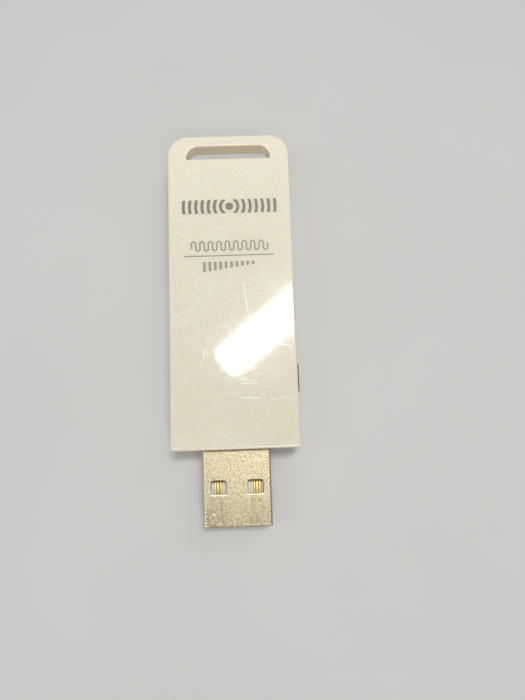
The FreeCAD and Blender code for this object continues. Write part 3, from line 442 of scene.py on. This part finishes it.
def board_laminate():
    M = Mat("board_laminate", roughness=0.3)
    x, y, z = M.xyz()
    weave = M.node("ShaderNodeTexWave", {"wave_type": "BANDS", "bands_direction": "X"}, Vector=M.co, Scale=0.9, Distortion=0.3).outputs[1]
    weave2 = M.node("ShaderNodeTexWave", {"wave_type": "BANDS", "bands_direction": "Y"}, Vector=M.co, Scale=0.9, Distortion=0.3).outputs[1]
    w = M.math("MULTIPLY", weave, weave2)
    # buried copper shows as a lighter green: stepped blocks and a grid of traces
    cells = M.node("ShaderNodeTexVoronoi", {"feature": "F1", "distance": "CHEBYCHEV"}, Vector=M.co, Scale=0.42, Randomness=0.85)
    block = M.node("ShaderNodeSeparateColor", Color=cells.outputs["Color"]).outputs[0]
    copper = M.math("MULTIPLY", M.band(block, 0.42, 0.44), M.band(cells.outputs["Distance"], 0.40, 0.44, 1.0, 0.0))
    copper = M.math("MULTIPLY", copper, M.band(y, 12.2, 12.3, 1.0, 0.0))
    col = M.mix(w, lin(24, 84, 48), lin(30, 96, 56))
    col = M.mix(copper, col, lin(44, 124, 66))
    cut = M.math("MAXIMUM", M.band(M.math("ABSOLUTE", x), 8.74, 8.79), M.math("MAXIMUM", M.band(y, 25.54, 25.59), M.band(y, -16.94, -16.99)))
    M.color(M.mix(cut, col, lin(176, 168, 120)))
    M.rough(M.math("ADD", M.band(w, 0.0, 1.0, 0.24, 0.34), M.math("MULTIPLY", cut, 0.4)))
    M.bump(w, 0.003)
    M.bump(copper, 0.02)
    return M.m


def chip_resin():
    M = Mat("chip_resin", roughness=0.55)
    g = M.noise(9.0, detail=3.0)
    col = M.mix(M.band(g, 0.3, 0.7), lin(44, 44, 46), lin(56, 56, 58))
    M.color(col)
    M.rough(M.band(g, 0.3, 0.7, 0.48, 0.64))
    M.bump(g, 0.004)
    return M.m


def soft_metal(name, a, b, rough, scale, depth):
    def make():
        M = Mat(name, metallic=1.0, roughness=rough)
        g = M.noise(scale, detail=3.0, rough=0.6)
        M.color(M.mix(M.band(g, 0.3, 0.7), a, b))
        M.rough(M.band(g, 0.3, 0.7, rough - 0.06, rough + 0.08))
        M.bump(g, depth)
        return M.m
    return make


def ceramic(name, a, b, rough, scale, depth, dark=None):
    def make():
        M = Mat(name, roughness=rough)
        g = M.noise(scale, detail=4.0, rough=0.65)
        col = M.mix(M.band(g, 0.3, 0.7), a, b)
        if dark:
            col = M.mix(M.math("MULTIPLY", specks(M, 3.0, 0.05, 0.5, 2.0), 0.6), col, dark)
        M.color(col)
        M.rough(M.band(g, 0.3, 0.7, rough - 0.06, rough + 0.08))
        M.bump(g, depth)
        return M.m
    return make


MAKERS = {
    "shell_plastic": shell_plastic, "print_ink": print_ink, "label_film": label_film, "button_plastic": button_plastic,
    "clear_plastic": clear_plastic, "lamp_resin": lamp_resin, "plug_steel": plug_steel, "insulator_plastic": insulator_plastic,
    "contact_gold": contact_gold,
    "antenna_copper": gold("antenna_copper", lin(226, 170, 98), lin(214, 152, 84), (0.28, 0.4)),
    "socket_plating": gold("socket_plating", lin(240, 204, 128), lin(226, 186, 106), (0.2, 0.3)),
    "board_laminate": board_laminate, "chip_resin": chip_resin,
    "can_metal": soft_metal("can_metal", lin(206, 204, 198), lin(220, 218, 212), 0.30, 2.5, 0.002),
    "tin_plating": soft_metal("tin_plating", lin(200, 200, 198), lin(218, 218, 216), 0.36, 5.0, 0.003),
    "switch_steel": soft_metal("switch_steel", lin(196, 194, 188), lin(212, 210, 204), 0.28, 3.0, 0.002),
    "ferrite": ceramic("ferrite", lin(62, 62, 64), lin(76, 76, 78), 0.6, 6.0, 0.006, lin(30, 30, 32)),
    "filter_ceramic": ceramic("filter_ceramic", lin(214, 218, 222), lin(200, 205, 210), 0.35, 4.0, 0.002),
    "capacitor_ceramic": ceramic("capacitor_ceramic", lin(186, 152, 112), lin(172, 138, 98), 0.4, 5.0, 0.003, lin(140, 106, 70)),
    "resistor_film": ceramic("resistor_film", lin(38, 38, 42), lin(48, 48, 52), 0.3, 5.0, 0.002),
    "switch_resin": ceramic("switch_resin", lin(48, 48, 50), lin(58, 58, 60), 0.5, 7.0, 0.004),
}
made = {}
slot_of = {s["node"]: s["material_slot"] for s in frame["record"]["subparts"]}
for name, obj in nodes.items():
    slot = slot_of[name]
    if slot not in made:
        made[slot] = MAKERS[slot]()
    if not obj.material_slots:
        obj.data.materials.append(made[slot])
    for s in obj.material_slots:
        s.material = made[slot]

# ------------------------------------------------------------------ snap dome
import bmesh

# a thin spherical cap standing on its rim; the real dome flattens under the plunger
lo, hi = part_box("switch_dome")
rim, rise, thick = (hi[1] - lo[1]) / 2, hi[0] - lo[0], 0.08 * MM
mid_y, mid_z = (lo[1] + hi[1]) / 2, (lo[2] + hi[2]) / 2


def cap_profile(radius_at_rim, height, steps=14):
    """Points (radius, height) of a spherical cap from its rim to its crown."""
    big = (radius_at_rim ** 2 + height ** 2) / (2 * height)
    top = math.asin(min(1.0, radius_at_rim / big))
    return [(big * math.sin(top * (1 - i / steps)), big * math.cos(top * (1 - i / steps)) - (big - height)) for i in range(steps + 1)]


outside = cap_profile(rim, rise)
inside = cap_profile(rim - thick * 0.8, rise - thick)
bm = bmesh.new()
TURNS = 48


def spin(profile, flip):
    rings = []
    for r, h in profile[:-1]:
        rings.append([bm.verts.new((lo[0] + h, mid_y + r * math.cos(2 * math.pi * k / TURNS), mid_z + r * math.sin(2 * math.pi * k / TURNS)))
                      for k in range(TURNS)])
    crown = bm.verts.new((lo[0] + profile[-1][1], mid_y, mid_z))
    for a, b in zip(rings, rings[1:]):
        for k in range(TURNS):
            quad = (a[k], a[(k + 1) % TURNS], b[(k + 1) % TURNS], b[k])
            bm.faces.new(quad[::-1] if flip else quad)
    for k in range(TURNS):
        tri = (rings[-1][k], rings[-1][(k + 1) % TURNS], crown)
        bm.faces.new(tri[::-1] if flip else tri)
    return rings[0]


foot_out, foot_in = spin(outside, False), spin(inside, True)
for k in range(TURNS):
    bm.faces.new((foot_out[(k + 1) % TURNS], foot_out[k], foot_in[k], foot_in[(k + 1) % TURNS]))
bmesh.ops.recalc_face_normals(bm, faces=bm.faces)
for f in bm.faces:
    f.smooth = True
mesh = bpy.data.meshes.new("snap_dome")
bm.to_mesh(mesh)
bm.free()
dome = bpy.data.objects.new("snap_dome", mesh)
bpy.context.scene.collection.objects.link(dome)
mesh.materials.append(made[slot_of["switch_dome"]])
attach(dome, "housing")
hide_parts("switch_dome")
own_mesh(dome)

# ------------------------------------------------------------------ floor

bm = bmesh.new()
bmesh.ops.create_circle(bm, cap_ends=True, segments=96, radius=3.0)
mesh = bpy.data.meshes.new("floor")
bm.to_mesh(mesh)
bm.free()
floor = bpy.data.objects.new("floor", mesh)
bpy.context.scene.collection.objects.link(floor)
F = Mat("floor", roughness=0.9)
F.bsdf.inputs["Specular IOR Level"].default_value = 0.2
F.color(F.mix(F.band(F.noise(0.02, detail=3.0), 0.3, 0.7), lin(204, 205, 206), lin(207, 208, 209)))
F.bump(F.noise(1.2, detail=3.0), 0.004)
floor.data.materials.append(F.m)
floor.location.z = -0.00002

# ------------------------------------------------------------------ lights
scene = bpy.context.scene
world = bpy.data.worlds.new("studio")
scene.world = world
world.use_nodes = True
bg = world.node_tree.nodes["Background"]
bg.inputs["Color"].default_value = (1.0, 0.975, 0.935, 1.0)
bg.inputs["Strength"].default_value = 0.207


def area(name, loc, target, sx, sy, radiance, color, roll=0.0):
    light = bpy.data.lights.new(name, "AREA")
    light.shape = "RECTANGLE"
    light.size, light.size_y = sx, sy
    light.energy = radiance * math.pi * sx * sy
    light.color = color
    ob = bpy.data.objects.new(name, light)
    d = (Vector(target) - Vector(loc)).normalized()
    ob.rotation_mode = "QUATERNION"
    ob.rotation_quaternion = d.to_track_quat("-Z", "Y") @ Matrix.Rotation(roll, 3, "Z").to_quaternion()
    ob.location = loc
    ob.visible_camera = False
    scene.collection.objects.link(ob)
    return ob


area("key_softbox", (0.46, 0.44, 0.56), (0, 0, 0), 0.50, 0.50, 0.93, (1.0, 0.97, 0.92))
area("key_lamp", (0.115, 0.105, 0.60), (0, 0, 0), 0.07, 0.10, 23.0, (1.0, 0.985, 0.955))
area("front_softbox", (0.10, -0.42, 0.75), (0, 0, 0), 0.50, 0.50, 2.35, (1.0, 0.975, 0.935))
area("side_softbox", (-0.50, -0.05, 0.60), (0, 0, 0), 0.40, 0.40, 1.2, (1.0, 0.98, 0.95))
# long slanting overhead panel, mirrored in the glossy upper face
PANEL_END = Vector((-0.03395, 0.06615, 0.59960))     # middle of its upper end
PANEL_D = Vector((0.7414, 0.4940, -0.4540)).normalized()
PANEL_W = Vector((0.6036, -0.7867, 0.1292)).normalized()
PANEL_LEN, PANEL_WIDTH, PANEL_CUT, PANEL_LEVEL = 0.168, 0.0366, 0.0025, 57.5
n = PANEL_D.cross(PANEL_W).normalized()
if n.z < 0:
    n = -n
y_ax = n.cross(PANEL_D).normalized()
turn = Matrix((PANEL_D, y_ax, n)).transposed().to_quaternion()
panel = area("overhead_panel", PANEL_END + PANEL_D * (PANEL_LEN + PANEL_CUT) / 2, (0, 0, 0), PANEL_LEN - PANEL_CUT, PANEL_WIDTH,
             PANEL_LEVEL, (1.0, 0.985, 0.955))
panel.rotation_quaternion = turn
# its end is rounded
cap = area("panel_cap", PANEL_END + PANEL_D * PANEL_CUT, (0, 0, 0), 0.0088, PANEL_WIDTH, PANEL_LEVEL * math.pi / 4, (1.0, 0.985, 0.955))
cap.data.shape = "ELLIPSE"
cap.rotation_quaternion = turn

# ------------------------------------------------------------------ camera
cam = bpy.data.cameras.new("camera")
cam.sensor_width = 36.0
cam.lens = 27.0
cam.clip_start = 0.002
cam.clip_end = 20.0
cam_ob = bpy.data.objects.new("camera", cam)
scene.collection.objects.link(cam_ob)
R = Matrix(((0.999336, 0.03277, -0.015916), (-0.034723, 0.988963, -0.144039), (0.01102, 0.144496, 0.989444)))
cam_ob.matrix_world = Matrix.Translation((3.76 * MM, -18.89 * MM, 101.3 * MM)) @ R.to_4x4()
scene.camera = cam_ob
scene.view_settings.view_transform = "Standard"
scene.view_settings.look = "None"
scene.view_settings.exposure = 0.0
scene.view_settings.gamma = 1.0
